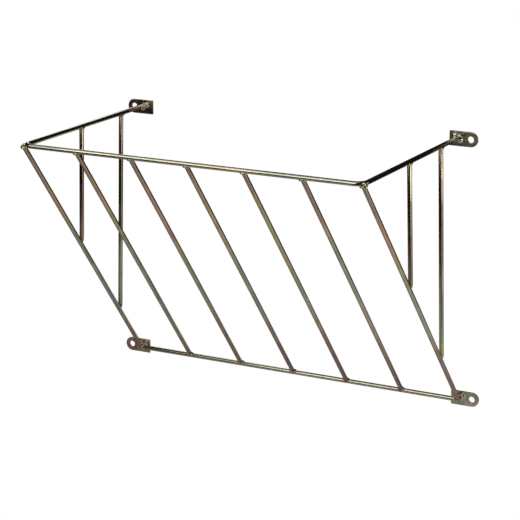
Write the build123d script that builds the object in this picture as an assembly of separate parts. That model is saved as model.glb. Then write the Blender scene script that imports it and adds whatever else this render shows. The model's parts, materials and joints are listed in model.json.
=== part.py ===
from build123d import *
import math
import os

# Wall-mounted hay rack, welded from round steel rod.
# Millimetres.  +X runs to the right along the wall, +Y into the wall, +Z up.
# The wall is the plane y = 0, and the origin lies on it, midway between the two lower bolt holes.

# ---- driving dimensions ----
ROD_D = 7.94              # 5/16 in round rod, used for every bar
TOP_SPAN = 609.6          # between the axes of the two arms
BOTTOM_SPAN = 635.0       # between the axes of the two end bars at the bottom rail
RACK_HEIGHT = 457.2       # from the lower bolt holes up to the frame's axis
FRONT_REACH = 387.35      # from the wall to the axis of the front rail
BEND_R = 16.0             # centreline radius of the frame's two front corners
BAR_GAPS = 6              # equal gaps across the front, so one bar more than gaps
RAIL_DROP = 1.6           # the bottom rail's axis lies this far below the lower bolt holes
UPRIGHT_PLACES = {"front": 0.462, "rear": 0.801}   # share of the way from front rail to wall

TAB_LENGTH = 50.8
TAB_HEIGHT = 25.4
TAB_THICK = 3.175
TAB_INBOARD = {"upper": 17.5, "lower": 15.2}       # from the rod's axis to the tab's square inner edge
UPPER_TAB_DROP = 2.5      # the upper bolt holes lie this far below the frame's axis
BOLT_HOLE_D = 11.1        # clears a 3/8 in screw
EDGE_BREAK = 0.4          # small chamfer left by deburring the tabs

SINK = 0.8                # depth to which a butted rod end is fused into the other rod
BEAD_R = 5.3              # radius of the lump of weld metal at a rod joint
TAB_BEAD_LEG = 3.6        # leg of the fillet beads on the tabs
TAB_BEAD_LENGTH = 11.0
TAB_BEAD_ROUND = 2.1      # rounding of a fillet bead's two ends
TOE_SHARE = 0.8           # an upright's foot bead sits this share of its radius towards its front edge
FOOT_BEAD_Z = 2.0         # the beads beside an end bar's foot sit this far above the bolt holes

# ---- worked out from them ----
ROD_R = ROD_D / 2
RAIL_Y = -(TAB_THICK + ROD_R)           # the bottom rail lies against the front of the tabs
SIDES = {"left": -1, "right": 1}
UPPER_TAB_HEIGHT = RACK_HEIGHT - UPPER_TAB_DROP
FRONT_AXIS = Vector(0, -FRONT_REACH, RACK_HEIGHT)
REAR_AXIS = Vector(0, RAIL_Y, -RAIL_DROP)
SLOPE = (REAR_AXIS - FRONT_AXIS).normalized()      # down the bars, seen from the side
UP_AND_BACK = Vector(0, -SLOPE.Z, SLOPE.Y)         # square to the bars, towards the wall


def rod(start, end):
    """Straight round rod with square ends."""
    run = end - start
    upright = (Align.CENTER, Align.CENTER, Align.MIN)
    return Plane(origin=start, z_dir=run) * Cylinder(ROD_R, run.length, align=upright)


def bar_axis(share):
    """Upper and lower axis points of a sloping bar; share runs from 0 at the left to 1 at the right."""
    top = FRONT_AXIS + Vector(TOP_SPAN * (share - 0.5), 0, 0)
    bottom = REAR_AXIS + Vector(BOTTOM_SPAN * (share - 0.5), 0, 0)
    return top, bottom


def side_axis(side):
    return bar_axis((side + 1) / 2)


def top_frame():
    """One rod bent into a flat U: left arm, front rail, right arm."""
    half = TOP_SPAN / 2
    corners = [
        (-half, -TAB_THICK, RACK_HEIGHT),
        (-half, -FRONT_REACH, RACK_HEIGHT),
        (half, -FRONT_REACH, RACK_HEIGHT),
        (half, -TAB_THICK, RACK_HEIGHT),
    ]
    path = FilletPolyline(*corners, radius=BEND_R)
    return sweep(Plane(origin=path @ 0, z_dir=path % 0) * Circle(ROD_R), path=path)


def bottom_rail():
    """Straight rod whose square ends are fused into the inner sides of the end bars."""
    reach = BOTTOM_SPAN / 2 - ROD_R + SINK
    return rod(REAR_AXIS - Vector(reach, 0, 0), REAR_AXIS + Vector(reach, 0, 0))


def middle_bar(share, frame, rail):
    """Sloping bar butted under the front rail and on top of the bottom rail."""
    top, bottom = bar_axis(share)
    along = (bottom - top).normalized()
    butt = ROD_R - SINK
    return rod(top + along * butt, bottom - along * butt) - frame - rail


def end_bar(side, frame, rail):
    """Sloping bar under a corner of the frame; the heel of its square foot touches the tab."""
    top, bottom = side_axis(side)
    along = (bottom - top).normalized()
    heel_y = RAIL_Y + ROD_R * UP_AND_BACK.Y
    foot_run = (-TAB_THICK - heel_y) / along.Y
    return rod(top + along * (ROD_R - SINK), bottom + along * foot_run) - frame - rail


def upright_axis(side, share):
    """Top and foot of a side upright: from the arm's axis to where its square foot meets the bar."""
    top, bottom = side_axis(side)
    on_bar = top + (bottom - top) * share
    head = Vector(top.X, on_bar.Y, RACK_HEIGHT)
    clear = ROD_R / SLOPE.Y + ROD_R * abs(SLOPE.Z / SLOPE.Y)
    down = (on_bar - head).normalized()
    return head, on_bar - down * clear


def upright(side, share, frame, end):
    head, foot = upright_axis(side, share)
    down = (foot - head).normalized()
    return rod(head + down * (ROD_R - SINK), foot + down * SINK) - frame - end


def wall_tab(side, rod_x, inboard, height):
    """Flat tab: square inner edge, fully rounded outer end with the bolt hole at its centre."""
    end_r = TAB_HEIGHT / 2
    straight = TAB_LENGTH - end_r
    inner = rod_x - inboard
    outline = Pos(inner + straight / 2, 0) * Rectangle(straight, TAB_HEIGHT)
    outline += Pos(inner + straight, 0) * Circle(end_r)
    outline -= Pos(inner + straight, 0) * Circle(BOLT_HOLE_D / 2)
    plate = extrude(Plane.XZ * outline, TAB_THICK)
    flat_edges = plate.edges().filter_by(lambda e: abs(e.center().Y + TAB_THICK / 2) > TAB_THICK / 4)
    plate = Pos(0, 0, height) * chamfer(flat_edges, EDGE_BREAK)
    return plate if side > 0 else mirror(plate, Plane.YZ)


def lump(point, *rods):
    """Ball of weld metal round a rod joint, less the rods themselves."""
    ball = Pos(*point) * Sphere(BEAD_R)
    for piece in rods:
        ball = ball - piece
    return ball


def tab_bead(x, height, *rods):
    """Upright fillet bead on the front of a tab, beside a rod."""
    leg = TAB_BEAD_LEG
    bead = Pos(x, -TAB_THICK, height) * Cylinder(leg, TAB_BEAD_LENGTH)
    bead = fillet(bead.edges(), TAB_BEAD_ROUND)
    behind = Pos(x, -TAB_THICK + leg, height) * Box(4 * leg, 2 * leg, 2 * TAB_BEAD_LENGTH)
    bead = bead - behind
    for piece in rods:
        bead = bead - piece
    return bead


def save(name, *solids):
    shape = solids[0] if len(solids) == 1 else Compound(children=list(solids))
    export_step(shape, f"parts/{name}.step")


def solids_of(*shapes):
    return [solid for shape in shapes for solid in shape.solids()]


def main():
    os.makedirs("parts", exist_ok=True)
    frame = top_frame()
    rail = bottom_rail()
    save("top_frame", frame)
    save("bottom_rail", rail)

    top_beads = []
    bottom_beads = []
    for number in range(1, BAR_GAPS):
        share = number / BAR_GAPS
        bar = middle_bar(share, frame, rail)
        save(f"front_bar_{number}", bar)
        top, bottom = bar_axis(share)
        along = (bottom - top).normalized()
        top_beads.append(lump(top + along * ROD_R, bar, frame))
        bottom_beads.append(lump(bottom - along * ROD_R, bar, rail))

    upright_beads = []
    upper_beads = []
    lower_beads = []
    for word, side in SIDES.items():
        end = end_bar(side, frame, rail)
        save(f"{word}_end_bar", end)
        top, bottom = side_axis(side)
        along = (bottom - top).normalized()
        top_beads.append(lump(top + along * ROD_R, end, frame))
        for place, share in UPRIGHT_PLACES.items():
            post = upright(side, share, frame, end)
            save(f"{word}_{place}_upright", post)
            head, foot = upright_axis(side, share)
            upright_beads.append(lump(head - Vector(0, 0, ROD_R), post, frame))
            upright_beads.append(lump(foot - Vector(0, TOE_SHARE * ROD_R, 0), end, post))

        upper = wall_tab(side, TOP_SPAN / 2, TAB_INBOARD["upper"], UPPER_TAB_HEIGHT)
        lower = wall_tab(side, BOTTOM_SPAN / 2, TAB_INBOARD["lower"], 0)
        save(f"upper_{word}_tab", upper)
        save(f"lower_{word}_tab", lower)
        for flank in (-1, 1):
            arm_edge = side * TOP_SPAN / 2 + flank * ROD_R
            foot_edge = side * BOTTOM_SPAN / 2 + flank * ROD_R
            upper_beads.append(tab_bead(arm_edge, RACK_HEIGHT, frame))
            lower_beads.append(tab_bead(foot_edge, FOOT_BEAD_Z, end, rail))

    save("front_rail_welds", *solids_of(*top_beads))
    save("bottom_rail_welds", *solids_of(*bottom_beads))
    save("upright_welds", *solids_of(*upright_beads))
    save("upper_tab_welds", *solids_of(*upper_beads))
    save("lower_tab_welds", *solids_of(*lower_beads))


main()
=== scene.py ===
import json
import math

import bpy
from mathutils import Matrix, Quaternion, Vector


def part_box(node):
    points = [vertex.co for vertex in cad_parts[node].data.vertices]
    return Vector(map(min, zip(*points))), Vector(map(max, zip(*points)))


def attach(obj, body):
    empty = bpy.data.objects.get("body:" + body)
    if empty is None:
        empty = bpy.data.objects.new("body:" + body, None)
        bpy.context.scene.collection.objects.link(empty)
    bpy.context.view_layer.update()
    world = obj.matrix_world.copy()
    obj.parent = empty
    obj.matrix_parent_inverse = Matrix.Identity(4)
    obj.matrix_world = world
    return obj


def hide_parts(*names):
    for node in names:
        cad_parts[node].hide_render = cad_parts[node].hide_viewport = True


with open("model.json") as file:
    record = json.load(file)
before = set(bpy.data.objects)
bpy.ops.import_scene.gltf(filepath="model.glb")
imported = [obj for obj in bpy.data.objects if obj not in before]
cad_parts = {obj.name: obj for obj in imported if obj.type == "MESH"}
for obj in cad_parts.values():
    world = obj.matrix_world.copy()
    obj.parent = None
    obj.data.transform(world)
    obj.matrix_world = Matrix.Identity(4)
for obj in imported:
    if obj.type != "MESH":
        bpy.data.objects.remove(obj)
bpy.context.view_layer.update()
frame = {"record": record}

# A wall-mounted hay rack, welded from round steel rod and plated in yellow-chromate zinc.
# Metres.  +X runs to the right along the wall, +Y into the wall, +Z up.

MM = 0.001
BODY = "root"


def corners(node):
    low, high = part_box(node)
    return Vector(low), Vector(high)


# ---- places, read from the frame ----
rail_low, rail_high = corners("bottom_rail")
frame_low, frame_high = corners("top_frame")
ROD_R = (rail_high.z - rail_low.z) / 2
FRAME_Z = (frame_low.z + frame_high.z) / 2
FRONT_Y = frame_low.y + ROD_R
TAB_FACE_Y = frame_high.y
RAIL_Y = (rail_low.y + rail_high.y) / 2
RAIL_Z = (rail_low.z + rail_high.z) / 2
TOP_HALF = frame_high.x - ROD_R
FOOT_HALF = corners("right_end_bar")[1].x - ROD_R
RAIL_REACH = rail_high.x
TOP_LEFT = Vector((-TOP_HALF, FRONT_Y, FRAME_Z))
TOP_RIGHT = Vector((TOP_HALF, FRONT_Y, FRAME_Z))
FOOT_LEFT = Vector((-FOOT_HALF, RAIL_Y, RAIL_Z))
FOOT_RIGHT = Vector((FOOT_HALF, RAIL_Y, RAIL_Z))
ALONG_RAIL = Vector((1, 0, 0))
ALONG_ARM = Vector((0, 1, 0))
DOWN = Vector((0, 0, -1))

mounts = {mount["name"]: mount for mount in frame["record"]["mounts"]}
HOLE_R = mounts["lower_bolt_holes"]["dims"]["hole_r_mm"] * MM

# ---- sizes of the finished surfaces ----
BEND_R = 16 * MM              # centreline radius of the frame's two corners
BEND_STEPS = 16
ROD_SIDES = 32
SINK = 0.8 * MM               # a butted rod end is fused this deep into the other rod
BUTT = ROD_R - SINK           # so it starts this far from the other rod's axis
END_BREAK = 0.3 * MM          # rounding of a cut rod end
END_BREAK_STEPS = 2
SHARP = math.radians(35)      # edges steeper than this stay crisp

# ---- weld metal ----
SEAM_POINTS = 24
VOXEL = 0.36 * MM             # grain of the weld metal's mesh
CALM_STEPS = 3                # rounds of smoothing that take the grain out again
BEAD_SPACING = 1.0 * MM
BEAD_UNEVENNESS = 0.10
RING_R = 1.7 * MM             # bead radius round a rod joint
SIDE_SWELL = 0.45             # how much fatter the bead is in the two open corners of a joint
SADDLE = 0.9                  # keeps the bead off the very edge of the crossed rod
SEAM_STEP = 0.3 * MM          # the bead's middle lies this far outside the rod
TOE_SHARE = 0.8               # an upright's foot bead lies this share of a radius forward of its axis
TOE_WIDTH = 0.85              # half axes of that bead's loop, as shares of the rod's radius
TOE_LENGTH = 0.9
ROOT_RISE = 0.2 * MM          # the bead round a rod's end lies this far in front of the tab
SPOT_LOOP = 2.7 * MM          # a spot is laid as a small loop, which leaves a hollow in its middle
SPOT_RISE = 0.3 * MM          # the loop's middle lies this far in front of the tab
SPOT_SWELL = 1.7
SEEDS = {"front_rail": 3, "bottom_rail": 5, "upright": 7, "tab": 11}

# ---- where each piece's film starts in the run of colours ----
ROD_TINTS = {"top_frame": 0.60, "bottom_rail": -0.34, "bars": 0.0, "front": 0.72, "rear": 0.80}
TAB_TINTS = {"upper_left": 0.92, "upper_right": 0.82, "lower_left": -0.12, "lower_right": -0.44}
WELD_TINTS = {"front_rail": 0.58, "bottom_rail": -0.10, "upright": 0.55, "tab": 0.0}


# ================================================================ node trees
def add(tree, kind, links=None, **settings):
    """Adds a node, sets it, and links or fills its inputs; gives back its outputs."""
    made = tree.nodes.new(kind)
    for key, value in settings.items():
        setattr(made, key, value)
    for key, value in (links or {}).items():
        if isinstance(value, bpy.types.NodeSocket):
            tree.links.new(value, made.inputs[key])
        else:
            made.inputs[key].default_value = value
    return made.outputs


def maths(tree, operation, *values):
    links = dict(enumerate(values))
    return add(tree, "ShaderNodeMath", links, operation=operation)[0]


def vector_maths(tree, operation, *values):
    links = dict(enumerate(values))
    return add(tree, "ShaderNodeVectorMath", links, operation=operation)[0]


def scaled(tree, vector, factor):
    """A vector made longer or shorter, or a colour made lighter or darker."""
    return add(tree, "ShaderNodeVectorMath", {0: vector, "Scale": factor}, operation="SCALE")[0]


# ---------------------------------------------------------------- geometry trees
def new_tree(name, sizes):
    """Geometry Nodes tree with a geometry input and one named input for each size."""
    tree = bpy.data.node_groups.new(name, "GeometryNodeTree")
    tree.interface.new_socket("Geometry", in_out="INPUT", socket_type="NodeSocketGeometry")
    for label, kind in sizes.items():
        tree.interface.new_socket(label, in_out="INPUT", socket_type="NodeSocket" + kind)
    tree.interface.new_socket("Geometry", in_out="OUTPUT", socket_type="NodeSocketGeometry")
    return tree, tree.nodes.new("NodeGroupInput").outputs


def close_tree(tree, geometry, material):
    """Ends a tree as one real mesh with its material."""
    smooth = add(tree, "GeometryNodeSetShadeSmooth", {"Geometry": geometry})
    real = add(tree, "GeometryNodeRealizeInstances", {"Geometry": smooth[0]})
    dressed = add(tree, "GeometryNodeSetMaterial", {"Geometry": real[0], "Material": material})
    add(tree, "NodeGroupOutput", {"Geometry": dressed[0]})
    return tree


def keep_field(tree, geometry, kind, name, field):
    """Captures a field on a geometry; gives back the geometry and the kept values."""
    keeper = tree.nodes.new("GeometryNodeCaptureAttribute")
    keeper.capture_items.new(kind, name)
    tree.links.new(geometry, keeper.inputs[0])
    tree.links.new(field, keeper.inputs[1])
    return keeper.outputs[0], keeper.outputs[1]


def store(tree, geometry, name, kind, value):
    links = {"Geometry": geometry, "Name": name, "Value": value}
    return add(tree, "GeometryNodeStoreNamedAttribute", links, data_type=kind, domain="POINT")[0]


ROD_SIZES = {"Rod Radius": "Float", "Sides": "Int", "Tint Shift": "Float", "Material": "Material"}


def skin_rods(tree, paths, sizes):
    """Sweeps a round rod along each path.  "grain" keeps the place round and along the rod."""
    length = add(tree, "GeometryNodeSplineParameter")["Length"]
    paths, along = keep_field(tree, paths, "FLOAT", "along", length)
    circle = add(tree, "GeometryNodeCurvePrimitiveCircle",
                 {"Resolution": sizes["Sides"], "Radius": sizes["Rod Radius"]})
    place = add(tree, "GeometryNodeInputPosition")[0]
    ring, around = keep_field(tree, circle["Curve"], "VECTOR", "around", place)
    tube = add(tree, "GeometryNodeCurveToMesh",
               {"Curve": paths, "Profile Curve": ring, "Fill Caps": True})[0]
    across = add(tree, "ShaderNodeSeparateXYZ", {0: around})
    grain = add(tree, "ShaderNodeCombineXYZ", {0: across[0], 1: across[1], 2: along})[0]
    tube = store(tree, tube, "grain", "FLOAT_VECTOR", grain)
    return store(tree, tube, "tint_shift", "FLOAT", sizes["Tint Shift"])


def bent_rod_tree():
    """One rod along a path of straight runs, every corner bent to the same radius."""
    tree, sizes = new_tree("bent_rod", {"Bend Radius": "Float", "Bend Steps": "Int", **ROD_SIZES})
    path = add(tree, "GeometryNodeMeshToCurve", {"Mesh": sizes["Geometry"]})[0]
    bend = {"Curve": path, "Radius": sizes["Bend Radius"], "Count": sizes["Bend Steps"]}
    bent = add(tree, "GeometryNodeFilletCurve", bend, mode="POLY")[0]
    return close_tree(tree, skin_rods(tree, bent, sizes), sizes["Material"])


def rod_row_tree():
    """A row of straight rods, evenly spaced from the first one to the last one."""
    tree, sizes = new_tree("rod_row", {
        "Rods": "Int",
        "First Head": "Vector", "Last Head": "Vector",
        "First Foot": "Vector", "Last Foot": "Vector",
        **ROD_SIZES})
    index = add(tree, "GeometryNodeInputIndex")[0]
    share = maths(tree, "DIVIDE", index, maths(tree, "SUBTRACT", sizes["Rods"], 1.0))

    def spread(end):
        first = sizes["First " + end]
        whole = vector_maths(tree, "SUBTRACT", sizes["Last " + end], first)
        return vector_maths(tree, "ADD", first, scaled(tree, whole, share))

    head = spread("Head")
    run = vector_maths(tree, "SUBTRACT", spread("Foot"), head)
    row = add(tree, "GeometryNodeMeshLine", {"Count": sizes["Rods"]})[0]
    row = add(tree, "GeometryNodeSetPosition", {"Geometry": row, "Position": head})[0]
    rods = add(tree, "GeometryNodeExtrudeMesh", {"Mesh": row, "Offset": run}, mode="VERTICES")
    paths = add(tree, "GeometryNodeMeshToCurve", {"Mesh": rods["Mesh"], "Selection": rods["Side"]})[0]
    return close_tree(tree, skin_rods(tree, paths, sizes), sizes["Material"])


def weld_tree():
    """Drops of weld metal laid one after the other along each seam and run together."""
    tree, sizes = new_tree("weld_seam", {
        "Bead Radius": "Float", "Bead Spacing": "Float", "Unevenness": "Float",
        "Voxel Size": "Float", "Seed": "Int", "Tint Shift": "Float", "Material": "Material"})
    seam = add(tree, "GeometryNodeMeshToCurve", {"Mesh": sizes["Geometry"]})[0]
    drops = add(tree, "GeometryNodeCurveToPoints",
                {"Curve": seam, "Length": sizes["Bead Spacing"]}, mode="LENGTH")[0]
    least = maths(tree, "SUBTRACT", 1.0, sizes["Unevenness"])
    most = maths(tree, "ADD", 1.0, sizes["Unevenness"])
    chance = add(tree, "FunctionNodeRandomValue",
                 {2: least, 3: most, "Seed": sizes["Seed"]}, data_type="FLOAT")
    swell = add(tree, "GeometryNodeInputNamedAttribute", {"Name": "swell"}, data_type="FLOAT")[0]
    radius = maths(tree, "MULTIPLY", maths(tree, "MULTIPLY", sizes["Bead Radius"], swell), chance[1])
    metal = add(tree, "GeometryNodePointsToVolume",
                {"Points": drops, "Voxel Size": sizes["Voxel Size"], "Radius": radius},
                resolution_mode="VOXEL_SIZE")[0]
    rough = add(tree, "GeometryNodeVolumeToMesh", {"Volume": metal}, resolution_mode="GRID")[0]
    place = add(tree, "GeometryNodeInputPosition")[0]
    calm = add(tree, "GeometryNodeBlurAttribute", {"Value": place, "Iterations": CALM_STEPS},
               data_type="FLOAT_VECTOR")[0]
    bead = add(tree, "GeometryNodeSetPosition", {"Geometry": rough, "Position": calm})[0]
    bead = store(tree, bead, "tint_shift", "FLOAT", sizes["Tint Shift"])
    return close_tree(tree, bead, sizes["Material"])


# ---------------------------------------------------------------- running a tree
def wires(name, runs):
    """Mesh of bare edges.  Each run is (points, closed, swell of each point)."""
    places = []
    edges = []
    swells = []
    for points, closed, swell in runs:
        start = len(places)
        places.extend(points)
        swells.extend(swell)
        edges.extend((start + step, start + step + 1) for step in range(len(points) - 1))
        if closed:
            edges.append((start + len(points) - 1, start))
    mesh = bpy.data.meshes.new(name)
    mesh.from_pydata(places, edges, [])
    mesh.attributes.new("swell", "FLOAT", "POINT").data.foreach_set("value", swells)
    return mesh


def grow(name, tree, sizes, base, crisp=False):
    """Runs a tree on a base mesh and keeps what it makes as a plain mesh piece."""
    host = bpy.data.objects.new(name + "_base", base)
    bpy.context.scene.collection.objects.link(host)
    maker = host.modifiers.new("maker", "NODES")
    maker.node_group = tree
    for item in tree.interface.items_tree:
        if item.in_out == "INPUT" and item.name in sizes:
            maker[item.identifier] = sizes[item.name]
    if crisp:
        breaker = host.modifiers.new("end_break", "BEVEL")
        breaker.width = END_BREAK
        breaker.segments = END_BREAK_STEPS
        breaker.limit_method = "ANGLE"
        breaker.angle_limit = SHARP
    seen = host.evaluated_get(bpy.context.evaluated_depsgraph_get())
    mesh = bpy.data.meshes.new_from_object(seen)
    mesh.name = name
    if crisp:
        mesh.set_sharp_from_angle(angle=SHARP)
    bpy.data.objects.remove(host)
    return place_piece(name, mesh)


def place_piece(name, mesh):
    piece = bpy.data.objects.new(name, mesh)
    bpy.context.scene.collection.objects.link(piece)
    return piece


def settle(piece, slot, *nodes):
    """Puts a piece in the frame: attaches it to its body and hides the CAD nodes it stands for; slot is
    not used.
    """
    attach(piece, BODY)
    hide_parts(*nodes)


# ================================================================ materials
COAT_WEIGHT = 0.35            # the clear film over the metal
COAT_ROUGHNESS = 0.18
MOTTLES = ((3.5, 0.84), (14.0, 0.44), (60.0, 0.24), (240.0, 0.12))   # noise scale, weight
FILM_AT_TOP = 0.02            # places in the run of colours at the top and the bottom of the rack
FILM_AT_BOTTOM = 0.96
DRAWING_LINES = (2600.0, 2600.0, 40.0)     # fine across the rod and long along it
DRAWING_BANDS = (90.0, 90.0, 26.0)
ROLLING_LINES = (70.0, 70.0, 1500.0)
USUAL_NOISE = (0.3, 0.7)      # nearly all of a noise's values lie between these


def new_material(name):
    """Metal material; gives back the material, its tree and its surface inputs."""
    made = bpy.data.materials.new(name)
    made.use_nodes = True
    tree = made.node_tree
    surface = tree.nodes["Principled BSDF"]
    surface.inputs["Metallic"].default_value = 1.0
    surface.inputs["Coat Weight"].default_value = COAT_WEIGHT
    surface.inputs["Coat Roughness"].default_value = COAT_ROUGHNESS
    return made, tree, surface.inputs


def noise(tree, vector, scale, detail=2.0, distortion=0.0):
    links = {"Vector": vector, "Scale": scale, "Detail": detail, "Distortion": distortion}
    return add(tree, "ShaderNodeTexNoise", links)["Fac"]


def from_range(tree, value, low, high, to_low, to_high, kind="LINEAR"):
    links = {"Value": value, "From Min": low, "From Max": high, "To Min": to_low, "To Max": to_high}
    return add(tree, "ShaderNodeMapRange", links, interpolation_type=kind)["Result"]


def vary(tree, value, low, high):
    """A noise's usual values, stretched to run from low to high."""
    return from_range(tree, value, *USUAL_NOISE, low, high)


def ramp(tree, value, stops):
    made = tree.nodes.new("ShaderNodeValToRGB")
    points = made.color_ramp.elements
    while len(points) < len(stops):
        points.new(0.5)
    for point, (share, colour) in zip(points, stops):
        point.position = share
        point.color = (*colour, 1.0)
    tree.links.new(value, made.inputs[0])
    return made.outputs[0]


# The order in which the chromate film changes colour as it gets thicker.
FILM = [
    (0.00, (0.56, 0.43, 0.30)),
    (0.07, (0.62, 0.42, 0.32)),
    (0.12, (0.65, 0.38, 0.31)),
    (0.19, (0.67, 0.46, 0.26)),
    (0.28, (0.63, 0.54, 0.26)),
    (0.38, (0.50, 0.49, 0.27)),
    (0.48, (0.47, 0.50, 0.34)),
    (0.60, (0.58, 0.56, 0.43)),
    (0.72, (0.67, 0.58, 0.38)),
    (0.82, (0.63, 0.47, 0.29)),
    (0.90, (0.56, 0.34, 0.28)),
    (1.00, (0.50, 0.38, 0.28)),
]

# Bare weld metal, from its burnt hollows to its bright crests.
WELD_COLOURS = [
    (0.36, (0.34, 0.25, 0.16)),
    (0.43, (0.66, 0.60, 0.42)),
    (0.50, (0.84, 0.80, 0.66)),
    (0.66, (0.90, 0.87, 0.76)),
]


def film_group():
    """Colour of the plating at a point: it drifts down the rack, and mottles and streaks on the way."""
    tree = bpy.data.node_groups.new("chromate_film", "ShaderNodeTree")
    tree.interface.new_socket("Place", in_out="INPUT", socket_type="NodeSocketVector")
    tree.interface.new_socket("Shift", in_out="INPUT", socket_type="NodeSocketFloat")
    tree.interface.new_socket("Color", in_out="OUTPUT", socket_type="NodeSocketColor")
    given = tree.nodes.new("NodeGroupInput").outputs
    place = given["Place"]
    height = add(tree, "ShaderNodeSeparateXYZ", {0: place})[2]
    drift = from_range(tree, height, FRAME_Z, RAIL_Z, FILM_AT_TOP, FILM_AT_BOTTOM)
    for scale, weight in MOTTLES:
        patch = maths(tree, "SUBTRACT", noise(tree, place, scale), 0.5)
        drift = maths(tree, "ADD", drift, maths(tree, "MULTIPLY", patch, weight))
    drift = maths(tree, "ADD", drift, given["Shift"])
    colour = ramp(tree, maths(tree, "PINGPONG", drift, 1.0), FILM)
    dull = vary(tree, noise(tree, place, 38.0, 4.0, 0.6), 0.86, 1.08)
    add(tree, "NodeGroupOutput", {"Color": scaled(tree, colour, dull)})
    return tree


def film_colour(tree, film, place, shift):
    links = {"Place": place, "Shift": shift}
    return add(tree, "ShaderNodeGroup", links, node_tree=film)["Color"]


def rod_material(film):
    """Drawn rod: drawing lines run along it under the film."""
    made, tree, surface = new_material("plated_rod")
    place = add(tree, "ShaderNodeTexCoord")["Object"]
    grain = add(tree, "ShaderNodeAttribute", attribute_name="grain")["Vector"]
    shift = add(tree, "ShaderNodeAttribute", attribute_name="tint_shift")["Fac"]
    colour = film_colour(tree, film, place, shift)

    lines = noise(tree, vector_maths(tree, "MULTIPLY", grain, DRAWING_LINES), 1.0, 3.0)
    bands = noise(tree, vector_maths(tree, "MULTIPLY", grain, DRAWING_BANDS), 1.0, 3.0, 0.4)
    specks = from_range(tree, noise(tree, place, 420.0), 0.66, 0.74, 1.0, 0.72)
    shade = maths(tree, "MULTIPLY", vary(tree, lines, 0.93, 1.05), vary(tree, bands, 0.88, 1.1))
    shade = maths(tree, "MULTIPLY", shade, specks)
    tree.links.new(scaled(tree, colour, shade), surface["Base Color"])

    gloss = maths(tree, "ADD", vary(tree, bands, 0.10, 0.15), vary(tree, lines, 0.0, 0.05))
    tree.links.new(gloss, surface["Roughness"])
    height = maths(tree, "ADD", lines, maths(tree, "MULTIPLY", noise(tree, place, 260.0), 0.6))
    relief = add(tree, "ShaderNodeBump", {"Strength": 0.05, "Distance": 0.02 * MM, "Height": height})
    tree.links.new(relief[0], surface["Normal"])
    return made


def tab_material(film):
    """Sheared flat strip: rolled lines and patches under a mottled film."""
    made, tree, surface = new_material("plated_tab")
    place = add(tree, "ShaderNodeTexCoord")["Object"]
    patches = noise(tree, place, 85.0, 4.0, 0.8)
    blotch = from_range(tree, noise(tree, place, 48.0, 2.0, 0.4), 0.35, 0.65, -0.18, 0.18)
    shift = add(tree, "ShaderNodeAttribute", attribute_name="tint_shift")["Fac"]
    colour = film_colour(tree, film, place, maths(tree, "ADD", shift, blotch))
    rolling = noise(tree, vector_maths(tree, "MULTIPLY", place, ROLLING_LINES), 1.0, 3.0)
    shade = maths(tree, "MULTIPLY", vary(tree, patches, 0.88, 1.40), vary(tree, rolling, 0.94, 1.04))
    tree.links.new(scaled(tree, colour, shade), surface["Base Color"])
    tree.links.new(from_range(tree, patches, 0.25, 0.75, 0.18, 0.32), surface["Roughness"])
    height = maths(tree, "ADD", rolling, maths(tree, "MULTIPLY", noise(tree, place, 300.0, 3.0), 1.5))
    relief = add(tree, "ShaderNodeBump", {"Strength": 0.3, "Distance": 0.12 * MM, "Height": height})
    tree.links.new(relief[0], surface["Normal"])
    return made


def weld_material(name, lightest, film=None):
    """Weld metal, burnt brown in its hollows; its crests take the film's colour where a film is given."""
    made, tree, surface = new_material(name)
    place = add(tree, "ShaderNodeTexCoord")["Object"]
    burnt = noise(tree, place, 330.0, 3.0, 0.5)
    if film:
        shift = add(tree, "ShaderNodeAttribute", attribute_name="tint_shift")["Fac"]
        colour = film_colour(tree, film, place, shift)
        colour = scaled(tree, colour, from_range(tree, burnt, 0.36, 0.50, 0.72, lightest))
    else:
        colour = scaled(tree, ramp(tree, burnt, WELD_COLOURS), lightest)
    tree.links.new(colour, surface["Base Color"])
    tree.links.new(vary(tree, burnt, 0.26, 0.10), surface["Roughness"])
    ripple = noise(tree, place, 700.0, 3.0)
    relief = add(tree, "ShaderNodeBump", {"Strength": 0.2, "Distance": 0.1 * MM, "Height": ripple})
    tree.links.new(relief[0], surface["Normal"])
    return made


film = film_group()
PLATED_ROD = rod_material(film)
PLATED_TAB = tab_material(film)
SEAM_METAL = weld_material("seam_metal", 1.2, film)
SPOT_METAL = weld_material("spot_metal", 1.0)

# ================================================================ rods
bent_rod = bent_rod_tree()
rod_row = rod_row_tree()


def rod_sizes(tint_shift):
    return {"Rod Radius": ROD_R, "Sides": ROD_SIDES, "Tint Shift": tint_shift, "Material": PLATED_ROD}


def row(name, count, first, last, tint_shift):
    """A row of straight rods; first and last are each (head, foot)."""
    sizes = rod_sizes(tint_shift)
    sizes.update({"Rods": count, "First Head": first[0], "Last Head": last[0],
                  "First Foot": first[1], "Last Foot": last[1]})
    return grow(name, rod_row, sizes, wires(name, []), crisp=True)


def bar_axis(share):
    """Head and foot of a sloping bar's axis; share runs from 0 at the left to 1 at the right."""
    return TOP_LEFT.lerp(TOP_RIGHT, share), FOOT_LEFT.lerp(FOOT_RIGHT, share)


def trimmed(axis, head_trim, foot_trim):
    """The same axis, shortened at both ends; a negative trim makes it longer."""
    head, foot = axis
    along = (foot - head).normalized()
    return head + along * head_trim, foot - along * foot_trim


def make_frame():
    ends = [Vector((side * TOP_HALF, TAB_FACE_Y, FRAME_Z)) for side in (-1, 1)]
    points = [ends[0], TOP_LEFT, TOP_RIGHT, ends[1]]
    sizes = rod_sizes(ROD_TINTS["top_frame"])
    sizes.update({"Bend Radius": BEND_R, "Bend Steps": BEND_STEPS})
    base = wires("frame_path", [(points, False, [1.0] * len(points))])
    return grow("top_frame_rod", bent_rod, sizes, base, crisp=True)


settle(make_frame(), "plated_rod", "top_frame")

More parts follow.
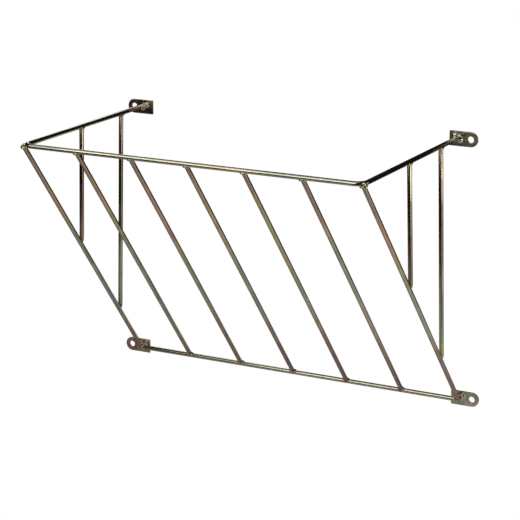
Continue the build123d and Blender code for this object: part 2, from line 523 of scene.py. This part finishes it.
rail_axis = (Vector((-RAIL_REACH, RAIL_Y, RAIL_Z)), Vector((RAIL_REACH, RAIL_Y, RAIL_Z)))
rail = row("bottom_rail_rod", 1, rail_axis, rail_axis, ROD_TINTS["bottom_rail"])
settle(rail, "plated_rod", "bottom_rail")

BARS = [f"front_bar_{number}" for number in range(1, 6)]
GAPS = len(BARS) + 1
first_bar = trimmed(bar_axis(1 / GAPS), BUTT, BUTT)
last_bar = trimmed(bar_axis(1 - 1 / GAPS), BUTT, BUTT)
settle(row("middle_bars", len(BARS), first_bar, last_bar, ROD_TINTS["bars"]), "plated_rod", *BARS)


def foot_overrun(axis):
    """How far an end bar runs past the bottom rail's axis before its heel meets the tab."""
    head, foot = axis
    along = (foot - head).normalized()
    heel_y = RAIL_Y + ROD_R * abs(along.z)
    return (TAB_FACE_Y - heel_y) / along.y


left_axis = bar_axis(0)
right_axis = bar_axis(1)
overrun = foot_overrun(left_axis)
left_bar = trimmed(left_axis, BUTT, -overrun)
right_bar = trimmed(right_axis, BUTT, -overrun)
ends = row("end_bars", 2, left_bar, right_bar, ROD_TINTS["bars"])
settle(ends, "plated_rod", "left_end_bar", "right_end_bar")


def upright_axis(word, place):
    """Head and foot of a side upright, from the arm's axis down to its square foot."""
    side = -1 if word == "left" else 1
    low, high = corners(f"{word}_{place}_upright")
    y = (low.y + high.y) / 2
    head, foot = bar_axis((side + 1) / 2)
    on_bar = head.lerp(foot, (y - head.y) / (foot.y - head.y))
    return Vector((side * TOP_HALF, y, FRAME_Z)), Vector((on_bar.x, y, low.z))


UPRIGHTS = {}
for place in ("front", "rear"):
    pair = [upright_axis(word, place) for word in ("left", "right")]
    UPRIGHTS[place] = pair
    first, last = (trimmed(axis, BUTT, 0) for axis in pair)
    nodes = [f"{word}_{place}_upright" for word in ("left", "right")]
    settle(row(f"{place}_uprights", 2, first, last, ROD_TINTS[place]), "plated_rod", *nodes)

# ================================================================ tabs
TAB_EDGE = 0.45 * MM          # rounding of the sheared edges
TAB_EDGE_STEPS = 3
ARC_STEPS = 28


def arc(centre, radius, start, sweep, steps):
    turns = [start + sweep * step / steps for step in range(steps + 1)]
    return [(centre + radius * math.cos(turn), radius * math.sin(turn)) for turn in turns]


def make_tab(name, node, tint_shift):
    """Flat strip with a square inner edge, a rounded outer end and one punched hole."""
    low, high = corners(node)
    middle = (low + high) / 2
    half = (high.x - low.x) / 2
    end_r = (high.z - low.z) / 2
    outward = 1 if middle.x > 0 else -1
    hole_x = outward * (half - end_r)
    inner_x = -outward * half
    quarter = math.pi / 2
    rim = arc(hole_x, end_r, -quarter, outward * math.pi, ARC_STEPS)
    outline = rim + [(inner_x, rim[-1][1]), (inner_x, rim[0][1])]
    hole = arc(hole_x, HOLE_R, 0.0, 2 * math.pi, ARC_STEPS)[:-1]

    plate = bpy.data.curves.new(name, "CURVE")
    plate.dimensions = "2D"
    plate.fill_mode = "BOTH"
    plate.extrude = (high.y - low.y) / 2 - TAB_EDGE
    plate.bevel_depth = TAB_EDGE
    plate.bevel_resolution = TAB_EDGE_STEPS
    plate.offset = -TAB_EDGE
    for edge in (outline, hole):
        spline = plate.splines.new("POLY")
        spline.points.add(len(edge) - 1)
        for point, (x, z) in zip(spline.points, edge):
            point.co = (x, z, 0.0, 1.0)
        spline.use_cyclic_u = True

    host = bpy.data.objects.new(name + "_base", plate)
    bpy.context.scene.collection.objects.link(host)
    seen = host.evaluated_get(bpy.context.evaluated_depsgraph_get())
    mesh = bpy.data.meshes.new_from_object(seen)
    bpy.data.objects.remove(host)
    mesh.name = name
    mesh.transform(Matrix.Translation(middle) @ Matrix.Rotation(quarter, 4, "X"))
    mesh.materials.clear()
    mesh.materials.append(PLATED_TAB)
    tints = mesh.attributes.new("tint_shift", "FLOAT", "POINT").data
    tints.foreach_set("value", [tint_shift] * len(tints))
    mesh.shade_smooth()
    mesh.set_sharp_from_angle(angle=SHARP)
    return place_piece(name, mesh)


for place, shift in TAB_TINTS.items():
    settle(make_tab(f"{place}_wall_tab", f"{place}_tab", shift), "plated_tab", f"{place}_tab")

# ================================================================ welds
weld_seam = weld_tree()


def saddle(centre, along, crossed):
    """Seam where a rod that leaves along one line meets the round side of the rod it crosses."""
    across = along.cross(crossed).normalized()
    level = across.cross(along).normalized()
    points = []
    swells = []
    for step in range(SEAM_POINTS):
        turn = 2 * math.pi * step / SEAM_POINTS
        side = (ROD_R + SEAM_STEP) * math.cos(turn)
        over = SADDLE * ROD_R * math.sin(turn)
        lift = math.sqrt(ROD_R ** 2 - over ** 2)
        points.append(centre + level * side + across * over + along * lift)
        swells.append(1 + SIDE_SWELL * abs(math.cos(turn)))
    return points, True, swells


def loop(centre, first, second, swell=1.0):
    """Oval seam round a point; first and second are its two half axes."""
    points = []
    for step in range(SEAM_POINTS):
        turn = 2 * math.pi * step / SEAM_POINTS
        points.append(centre + first * math.cos(turn) + second * math.sin(turn))
    return points, True, [swell] * SEAM_POINTS


def weld(name, node, seams, kind, metal=SEAM_METAL):
    sizes = {"Bead Radius": RING_R, "Bead Spacing": BEAD_SPACING, "Unevenness": BEAD_UNEVENNESS,
             "Voxel Size": VOXEL, "Seed": SEEDS[kind], "Tint Shift": WELD_TINTS[kind],
             "Material": metal}
    settle(grow(name, weld_seam, sizes, wires(name, seams)), "weld_bead", node)


front_seams = []
for number in range(GAPS + 1):
    head, foot = bar_axis(number / GAPS)
    front_seams.append(saddle(head, (foot - head).normalized(), ALONG_RAIL))
weld("front_rail_weld_metal", "front_rail_welds", front_seams, "front_rail")

bottom_seams = []
for number in range(1, GAPS):
    head, foot = bar_axis(number / GAPS)
    bottom_seams.append(saddle(foot, (head - foot).normalized(), ALONG_RAIL))
for axis, inward in ((left_axis, ALONG_RAIL), (right_axis, -ALONG_RAIL)):
    head, foot = axis
    bottom_seams.append(saddle(foot, inward, (foot - head).normalized()))
weld("bottom_rail_weld_metal", "bottom_rail_welds", bottom_seams, "bottom_rail")

upright_seams = []
slope = (left_axis[1] - left_axis[0]).normalized()
for pair in UPRIGHTS.values():
    for head, foot in pair:
        upright_seams.append(saddle(head, DOWN, ALONG_ARM))
        toe = foot - ALONG_ARM * TOE_SHARE * ROD_R
        upright_seams.append(loop(toe, ALONG_RAIL * TOE_WIDTH * ROD_R, slope * TOE_LENGTH * ROD_R))
weld("upright_weld_metal", "upright_welds", upright_seams, "upright")

# Each tab is welded by spots on either side of the rod: (right, up) from the rod's axis, in mm.
SPOTS = {
    ("upper", "left"): ((5.0, 1.0), (-3.5, -4.0)),
    ("upper", "right"): ((-6.5, 2.0), (1.5, -4.5)),
    ("lower", "left"): ((7.5, 5.0), (-5.0, 3.0)),
    ("lower", "right"): ((7.0, 5.0), (-5.5, 3.5)),
}


def spot(x, z):
    centre = Vector((x, TAB_FACE_Y - SPOT_RISE, z))
    return loop(centre, ALONG_RAIL * SPOT_LOOP, DOWN * SPOT_LOOP, SPOT_SWELL)


for level, half, height in (("upper", TOP_HALF, FRAME_Z), ("lower", FOOT_HALF, 0.0)):
    seams = []
    for word, side in (("left", -1), ("right", 1)):
        x = side * half
        seams.extend(spot(x + right * MM, height + up * MM) for right, up in SPOTS[level, word])
        root = Vector((x, TAB_FACE_Y - ROOT_RISE, height))
        seams.append(loop(root, ALONG_RAIL * ROD_R, DOWN * ROD_R))
    weld(f"{level}_tab_weld_metal", f"{level}_tab_welds", seams, "tab", SPOT_METAL)

# ================================================================ studio
FLOOR_Z = -0.30
FLOOR_HALF = 9.0
# Pools of light painted into the floor's glow, which the metal reflects: centre; reach in X and Y;
# brightness.
POOLS = (
    ((0.80, -0.30), (0.5, 0.5), 0.50),
    ((0.20, -0.30), (0.4, 0.5), 0.24),
    ((-0.40, -0.30), (0.4, 0.5), 0.30),
    ((0.80, 0.50), (0.5, 0.5), 0.30),
    ((-0.30, 1.05), (0.5, 0.5), 0.70),
    ((-0.20, -1.05), (0.45, 0.4), 0.30),
    ((-0.90, -1.00), (0.45, 0.5), 0.14),
    ((-0.78, -2.30), (0.4, 0.5), 0.30),
    ((1.90, -0.50), (0.5, 0.5), 1.05),
    ((1.80, 0.60), (0.5, 0.5), 0.36),
)
FLOOR_DIM = 0.004             # brightness of the floor between the pools, as the metal reflects it
WORLD_DIM = (0.010, 0.05)     # the same for the world, level and overhead
WORLD_RISE = (0.2, 0.9)       # the heights between which the one becomes the other
WHITE = (1.0, 1.0, 1.0)
WARM_DARK = (1.0, 0.80, 0.60)

rack_middle = (0.0, -0.2, 0.23)
right_middle = (0.3, -0.1, 0.3)
# Soft lights: name, place, target, width and height, brightness.
LIGHTS = (
    ("overhead_light", (-0.45, -0.85, 2.0), (-0.45, -0.6, 0.0), (2.4, 1.0), 0.6),
    ("low_key_light", (-0.40, -2.02, 1.0), rack_middle, (1.9, 0.5), 2.3),
    ("high_key_light", (-0.40, -1.82, 1.6), rack_middle, (1.9, 0.5), 2.3),
    ("left_key_light", (-1.90, -1.90, 1.30), rack_middle, (1.1, 0.9), 1.2),
    ("back_light", (-0.96, 1.07, 0.88), (-0.3, -0.2, 0.457), (0.6, 0.5), 1.6),
    ("right_light", (1.5, -0.10, 0.2), right_middle, (0.6, 0.4), 0.6),
    ("right_front_light", (1.5, -0.8, 0.1), right_middle, (0.6, 0.4), 0.6),
    ("high_right_light", (1.5, -0.50, 0.50), right_middle, (0.6, 0.34), 3.2),
    ("high_right_back_light", (1.5, 0.40, 0.50), right_middle, (0.5, 0.3), 1.6),
)

# The camera looks at its aim from this far away, turned to the right of the rack and raised.
LENS = 132.86
SENSOR_WIDTH = 36.0
CAMERA_TURN = math.radians(27.589)
CAMERA_RISE = math.radians(15.584)
CAMERA_ROLL = math.radians(-0.097)
CAMERA_DISTANCE = 3.425
CAMERA_AIM = Vector((-0.0674, -0.0071, 0.1987))


def make_floor():
    """Glows plain white to the camera; in reflections it glows dark, with soft painted pools of light."""
    mesh = bpy.data.meshes.new("floor")
    spread = ((-1, -1), (1, -1), (1, 1), (-1, 1))
    mesh.from_pydata([(x * FLOOR_HALF, y * FLOOR_HALF, FLOOR_Z) for x, y in spread], [], [(0, 1, 2, 3)])
    made = bpy.data.materials.new("glowing_floor_light_pools")
    made.use_nodes = True
    tree = made.node_tree
    tree.nodes.clear()
    place = add(tree, "ShaderNodeTexCoord")["Object"]
    lit = FLOOR_DIM
    for centre, reach, brightness in POOLS:
        offset = vector_maths(tree, "SUBTRACT", place, (*centre, FLOOR_Z))
        offset = vector_maths(tree, "DIVIDE", offset, (*reach, 1.0))
        away = add(tree, "ShaderNodeVectorMath", {0: offset}, operation="LENGTH")["Value"]
        fade = maths(tree, "EXPONENT", maths(tree, "MULTIPLY", maths(tree, "POWER", away, 2.0), -1.0))
        lit = maths(tree, "MULTIPLY_ADD", fade, brightness, lit)
    # The floor is no lamp but an emitter: its glow paints the pools of light that the metal reflects.
    seen = add(tree, "ShaderNodeLightPath")["Is Camera Ray"]
    strength = maths(tree, "MAXIMUM", seen, lit)
    glow = add(tree, "ShaderNodeEmission", {"Color": (*WHITE, 1.0), "Strength": strength})
    add(tree, "ShaderNodeOutputMaterial", {"Surface": glow[0]})
    mesh.materials.append(made)
    place_piece("floor", mesh)


def make_world():
    """White to the camera; dark and soft in reflections, lighter overhead."""
    world = bpy.data.worlds.new("studio")
    bpy.context.scene.world = world
    world.use_nodes = True
    tree = world.node_tree
    tree.nodes.clear()
    way = add(tree, "ShaderNodeTexCoord")["Generated"]
    up = add(tree, "ShaderNodeSeparateXYZ", {0: way})
    dim = from_range(tree, up[2], *WORLD_RISE, *WORLD_DIM, "SMOOTHSTEP")
    seen = add(tree, "ShaderNodeLightPath")["Is Camera Ray"]
    strength = maths(tree, "MAXIMUM", seen, dim)
    colour = ramp(tree, seen, ((0.0, WARM_DARK), (1.0, WHITE)))
    glow = add(tree, "ShaderNodeBackground", {"Color": colour, "Strength": strength})
    add(tree, "ShaderNodeOutputWorld", {"Surface": glow[0]})


def soft_light(name, place, target, size, brightness):
    """Rectangular soft light; brightness is how bright its face looks."""
    lamp = bpy.data.lights.new(name, "AREA")
    lamp.shape = "RECTANGLE"
    lamp.size, lamp.size_y = size
    lamp.energy = brightness * math.pi * size[0] * size[1]
    made = bpy.data.objects.new(name, lamp)
    made.location = place
    made.rotation_mode = "QUATERNION"
    made.rotation_quaternion = (Vector(target) - Vector(place)).to_track_quat("-Z", "Y")
    made.visible_camera = False
    bpy.context.scene.collection.objects.link(made)


def make_camera():
    level = math.cos(CAMERA_RISE)
    back = Vector((math.sin(CAMERA_TURN) * level, -math.cos(CAMERA_TURN) * level, math.sin(CAMERA_RISE)))
    lens = bpy.data.cameras.new("camera")
    lens.lens = LENS
    lens.sensor_width = SENSOR_WIDTH
    camera = bpy.data.objects.new("camera", lens)
    camera.location = CAMERA_AIM + back * CAMERA_DISTANCE
    camera.rotation_mode = "QUATERNION"
    upright = (-back).to_track_quat("-Z", "Y")
    camera.rotation_quaternion = upright @ Quaternion((0, 0, 1), CAMERA_ROLL)
    bpy.context.scene.collection.objects.link(camera)
    bpy.context.scene.camera = camera


make_floor()
make_world()
for light in LIGHTS:
    soft_light(*light)
make_camera()
bpy.context.scene.view_settings.view_transform = "Standard"
